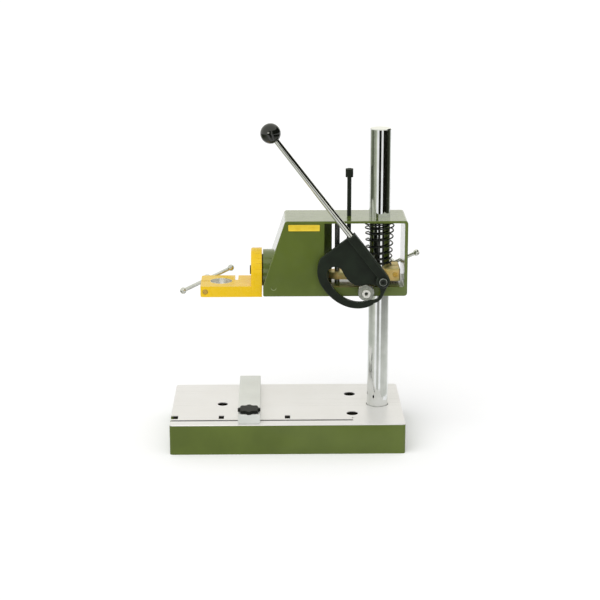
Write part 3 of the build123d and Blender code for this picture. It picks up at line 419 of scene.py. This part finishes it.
finishes = {
    "base_casting": enamelAndPlanedIron(), "head_casting": olive, "tool_holder": yellowEnamel(),
    "column": polishedChrome("chromedBar", chromedBarLook), "clamp_block": yellowChromate(),
    "fence_bar": anodisedAluminium(), "fence_knob": mouldedPhenolic("mattPhenolic", knobLook),
    "lever_ball": mouldedPhenolic("polishedPhenolic", ballLook), "lever_rod": pinChrome,
    "holder_clamp_bar": pinChrome, "holder_bar_balls": pinChrome, "column_clamp_bar": pinChrome,
    "column_bar_balls": pinChrome, "holder_clamp_screw": screwSteel, "column_clamp_screw": screwSteel,
    "fence_bolt": steel, "guide_rod": steel, "follower_spacer": steel,
    "follower_bolt": groundSteel("zincPlatedSteel", boltLook), "bearing_outer_ring": ringSteel,
    "bearing_inner_ring": ringSteel, "bearing_balls": ringSteel,
    "bearing_shield": groundSteel("pressedShieldSteel", shieldLook), "cam_plate": black,
    # the small screw carries a pale painted highlight on its sloping faces
    "cam_pivot_screw": blackedSteel("blackSteelPaintedHighlight", screwLook), "stop_screw": black, "stop_nut": black,
    "column_set_screw": black, "swivel_washer": black, "swivel_screw": black,
}
for name, material in finishes.items():
    nodes[name].data.materials.clear()
    nodes[name].data.materials.append(material)
print("finishes given to", len(finishes), "nodes")


def loftedPiece(name, points, material):
    # a grid of points (along, around, xyz) made a mesh of quads that closes around, with one face at each end
    rows, columns = points.shape[:2]
    along = np.arange(rows - 1)[:, None] * columns
    around = np.arange(columns)[None, :]
    beside = (around + 1) % columns
    corners = [along + around, along + beside, along + columns + beside, along + columns + around]
    faces = np.stack(corners, -1).reshape(-1, 4).tolist()
    faces.append(list(range(columns))[::-1])
    faces.append(list(range((rows - 1) * columns, rows * columns)))
    mesh = bpy.data.meshes.new(name)
    mesh.from_pydata(points.reshape(-1, 3).tolist(), [], faces)
    mesh.polygons.foreach_set("use_smooth", np.ones(len(faces), bool))
    mesh.materials.append(material)
    piece = bpy.data.objects.new(name, mesh)
    bpy.context.scene.collection.objects.link(piece)
    return piece


spring = {"turns": 8, "wire": 0.7, "lowRadius": 11.3, "highRadius": 13.7, "axisX": 87.0, "lowZ": 167.5,
          "highZ": 209.0, "endShare": 0.3, "perTurn": 72, "around": 20, "seatZ": 166.8, "pressed": 0.3}


def returnSpring():
    # a helix of round wire: its radius grows steadily, and it climbs by share less endShare times
    # sin(2 pi share) / 2 pi, so its turns lie closer at both ends; the wire's circle is square to the path
    share = np.linspace(0, 1, spring["turns"] * spring["perTurn"] + 1)
    climb = share - spring["endShare"] * np.sin(2 * np.pi * share) / (2 * np.pi)
    radius = spring["lowRadius"] + (spring["highRadius"] - spring["lowRadius"]) * share
    angle = 2 * np.pi * spring["turns"] * share
    path = np.stack([spring["axisX"] + radius * np.cos(angle), radius * np.sin(angle),
                     spring["lowZ"] + (spring["highZ"] - spring["lowZ"]) * climb], -1)
    heading = np.gradient(path, axis=0)
    heading /= np.linalg.norm(heading, axis=1, keepdims=True)
    outward = np.stack([np.cos(angle), np.sin(angle), np.zeros_like(angle)], -1)
    outward -= heading * np.sum(outward * heading, axis=1, keepdims=True)
    outward /= np.linalg.norm(outward, axis=1, keepdims=True)
    upward = np.cross(heading, outward)
    turn = np.linspace(0, 2 * np.pi, spring["around"], endpoint=False)
    circle = np.cos(turn)[None, :, None] * outward[:, None] + np.sin(turn)[None, :, None] * upward[:, None]
    piece = loftedPiece("return_spring", (path[:, None] + spring["wire"] * circle) * mm, blackWire)
    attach(piece, "clamp")
    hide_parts("feed_spring")
    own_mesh(piece)


plate = {"left": 1.2, "right": 30.3, "low": 205.4, "high": 211.3, "corner": 0.7, "leastCorner": 0.02,
         "face": -25.0, "thick": 0.35, "edge": 0.1, "rim": 0.45, "rimDrop": 0.08, "inner": (2.0, 2.9),
         "around": 64}


def blankPlate():
    # a rounded rectangle of thin sheet: its outline is drawn in step by step while its face first rises
    # over the edge and then drops a little inside the rim
    thick, edge, rim = plate["thick"], plate["edge"], plate["rim"]
    low = thick - plate["rimDrop"]
    inset = np.array([0, 0, edge, rim, rim + edge, *plate["inner"]])[:, None]
    height = np.array([0, thick - edge, thick, thick, low, low, low])[:, None]
    halfX, halfZ = (plate["right"] - plate["left"]) / 2, (plate["high"] - plate["low"]) / 2
    turn = np.linspace(0, 2 * np.pi, plate["around"], endpoint=False) + np.pi / plate["around"]
    corner = np.maximum(plate["corner"] - inset, plate["leastCorner"])
    x = np.sign(np.cos(turn)) * (halfX - inset - corner) + corner * np.cos(turn)
    z = np.sign(np.sin(turn)) * (halfZ - inset - corner) + corner * np.sin(turn)
    y = np.broadcast_to(plate["face"] - height, x.shape)
    middleX, middleZ = (plate["left"] + plate["right"]) / 2, (plate["low"] + plate["high"]) / 2
    points = np.stack([x + middleX, y, z + middleZ], -1)
    piece = loftedPiece("blank_plate", points * mm, yellowFoil())
    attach(piece, "head")


returnSpring()
blankPlate()
print("spring and blank plate made")

studio = {"ambient": 0.7, "white": "#ffffff", "mirrored": "#fefef4", "sun": 1.3, "sunSoftness": 70,
          "sunTilt": 40, "sunTurn": -30}
table = {"reach": 20, "colour": "#fafafa", "roughness": 0.9, "gloss": 0.1, "glow": 0.1}
# Dark cards lie on the table round the column; they show only in glossy surfaces, as stripes in the chrome.
# Each spans two angles about the column, from the front, and has a colour near the column and one far away.
# The column's middle and the lift off the table are in mm; the studio's other lengths are in metres.
cards = {"from": 0.12, "fadeFrom": 0.25, "darkFrom": 0.7, "reach": 3.2, "middle": 87.0, "lift": 1,
         "spans": ((-128, -104, "#dcded6", "#8f9480"), (-104, -74, "#d6d8cf", "#646a58"),
                   (-74, -56, "#d8dad2", "#969b87"), (-56, -40, "#dfe0d8", "#c2c6b4"),
                   (-18, 7, "#cacbc5", "#1b1c18"), (27, 74, "#d4d5ce", "#15160f"),
                   (74, 104, "#dcddd7", "#2f3328"), (104, 126, "#e6e7e1", "#666a5c"))}
# one hangs before the head's left end and darkens the round boss and flange
frontCard = {"y": -0.3, "left": -0.2, "right": 0.0, "low": 0.26, "high": 0.5, "colour": "#20221d"}
# three stand close to the lever, above what the column and the deck mirror, and darken the rod's upper side
leverCards = {"x": 0.02, "y": -0.033, "reach": 0.3, "low": 0.3, "high": 0.55, "turns": (15, 62, 110, 140),
              "colour": "#161712"}
# a small bright one puts the light in the ball
brightCard = {"x": -0.101, "y": -0.202, "halfWidth": 0.04, "low": 0.318, "high": 0.382, "colour": "#fffff4",
              "strength": 5.0}


def seenOrMirrored(tree):
    # 1 where a ray mirrors or passes through something, and 1 where it does that or comes from the camera
    rays = addNode(tree, "ShaderNodeLightPath").outputs
    mirrored = addNode(tree, "ShaderNodeMath", {"operation": "MAXIMUM"},
                       {0: rays["Is Glossy Ray"], 1: rays["Is Transmission Ray"]})
    seen = addNode(tree, "ShaderNodeMath", {"operation": "MAXIMUM"}, {0: rays["Is Camera Ray"], 1: mirrored})
    return mirrored, seen


def studioLight():
    world = bpy.data.worlds.new("studio")
    bpy.context.scene.world = world
    world.use_nodes = True
    tree = world.node_tree
    tree.nodes.clear()
    # seen directly the room is plain white, and mirrored a little creamy; what lights the object is softer
    mirrored, seen = seenOrMirrored(tree)
    strength = addNode(tree, "ShaderNodeMapRange", {"To Min": studio["ambient"], "To Max": 1.0},
                       {"Value": seen})
    white = addNode(tree, "ShaderNodeMix", {"data_type": "RGBA", 6: hexColour(studio["white"]),
                                            7: hexColour(studio["mirrored"])}, {0: mirrored}).outputs[2]
    sky = addNode(tree, "ShaderNodeBackground", links={"Color": white, "Strength": strength})
    addNode(tree, "ShaderNodeOutputWorld", links={"Surface": sky})
    lamp = bpy.data.lights.new("softKey", "SUN")
    lamp.energy = studio["sun"]
    lamp.angle = math.radians(studio["sunSoftness"])
    key = bpy.data.objects.new("softKey", lamp)
    key.rotation_euler = (math.radians(studio["sunTilt"]), 0, math.radians(studio["sunTurn"]))
    # its disc would burn out the deck where a view mirrors it, so only matt light comes from it
    key.visible_glossy = False
    bpy.context.scene.collection.objects.link(key)


def stagePlane(name, corners, material):
    mesh = bpy.data.meshes.new(name)
    mesh.from_pydata(corners, [], [(0, 1, 2, 3)])
    mesh.materials.append(material)
    plane = bpy.data.objects.new(name, mesh)
    bpy.context.scene.collection.objects.link(plane)
    return plane


def mirrorCard(name, corners, near, far, strength=1.0):
    # a card that only glossy rays meet, shaded by its distance from the column's foot
    material, tree, place = newMaterial(name)
    foot = (cards["middle"] * mm, 0, 0)
    away = addNode(tree, "ShaderNodeVectorMath", {"operation": "DISTANCE", 1: foot}, {0: place})
    share = addNode(tree, "ShaderNodeMapRange",
                    {"From Min": cards["fadeFrom"], "From Max": cards["darkFrom"]},
                    {"Value": away.outputs["Value"]})
    colour = addNode(tree, "ShaderNodeMix", {"data_type": "RGBA", 6: hexColour(near), 7: hexColour(far)},
                     {0: share}).outputs[2]
    glow = addNode(tree, "ShaderNodeEmission", {"Strength": strength}, {"Color": colour})
    addNode(tree, "ShaderNodeOutputMaterial", links={"Surface": glow})
    card = stagePlane(name, corners, material)
    card.visible_camera = False
    card.visible_diffuse = False
    card.visible_shadow = False
    card.visible_transmission = False


def standingCard(name, left, right, look):
    # an upright card between two points of the plan, of one colour
    corners = [(*left, look["low"]), (*right, look["low"]), (*right, look["high"]), (*left, look["high"])]
    mirrorCard(name, corners, look["colour"], look["colour"], look.get("strength", 1.0))


def planPoint(x, y, reach, turn):
    # the point at this distance from (x, y), turned by degrees from the front to the right
    return x + reach * math.sin(math.radians(turn)), y - reach * math.cos(math.radians(turn))


def whiteTable():
    # seen directly or mirrored it is lifted to plain white, and the object's shadow stays on it
    material, tree = newMaterial("whiteTable")[:2]
    seen = seenOrMirrored(tree)[1]
    lift = addNode(tree, "ShaderNodeMath", {"operation": "MULTIPLY", 1: table["glow"]}, {0: seen})
    closeMaterial(tree, {"Base Color": hexColour(table["colour"]), "Roughness": table["roughness"],
                         "Specular IOR Level": table["gloss"], "Emission Color": (1, 1, 1, 1)},
                  {"Emission Strength": lift})
    far = table["reach"]
    stagePlane("table", [(-far, -far, 0), (far, -far, 0), (far, far, 0), (-far, far, 0)], material)


def mirroredCards():
    middle, lift = cards["middle"] * mm, cards["lift"] * mm
    for n, (start, end, near, far) in enumerate(cards["spans"]):
        places = [(cards["from"], start), (cards["reach"], start),
                  (cards["reach"], end), (cards["from"], end)]
        corners = [(*planPoint(middle, 0, reach, turn), lift) for reach, turn in places]
        mirrorCard(f"card{n}", corners, near, far)
    y = frontCard["y"]
    standingCard("frontCard", (frontCard["left"], y), (frontCard["right"], y), frontCard)
    x, y, reach = leverCards["x"], leverCards["y"], leverCards["reach"]
    feet = [planPoint(x, y, reach, turn) for turn in leverCards["turns"]]
    for n, (left, right) in enumerate(zip(feet, feet[1:])):
        standingCard(f"leverCard{n}", left, right, leverCards)
    x, y, half = brightCard["x"], brightCard["y"], brightCard["halfWidth"]
    standingCard("brightCard", (x - half, y), (x + half, y), brightCard)


# stands where the photograph's camera stood: fitted to the base, the column, the head and the ball
view = {"lens": 95.5, "sensor": 36, "place": (-0.01343, -1.45522, 0.53424), "down": 15.42, "turn": -1.02}


def photoCamera():
    lens = bpy.data.cameras.new("photoCamera")
    lens.sensor_width = view["sensor"]
    lens.lens = view["lens"]
    camera = bpy.data.objects.new("photoCamera", lens)
    camera.location = view["place"]
    camera.rotation_euler = (math.radians(90 - view["down"]), 0, math.radians(view["turn"]))
    bpy.context.scene.collection.objects.link(camera)
    bpy.context.scene.camera = camera


studioLight()
whiteTable()
mirroredCards()
photoCamera()
bpy.context.scene.view_settings.view_transform = "Standard"
print("studio ready")
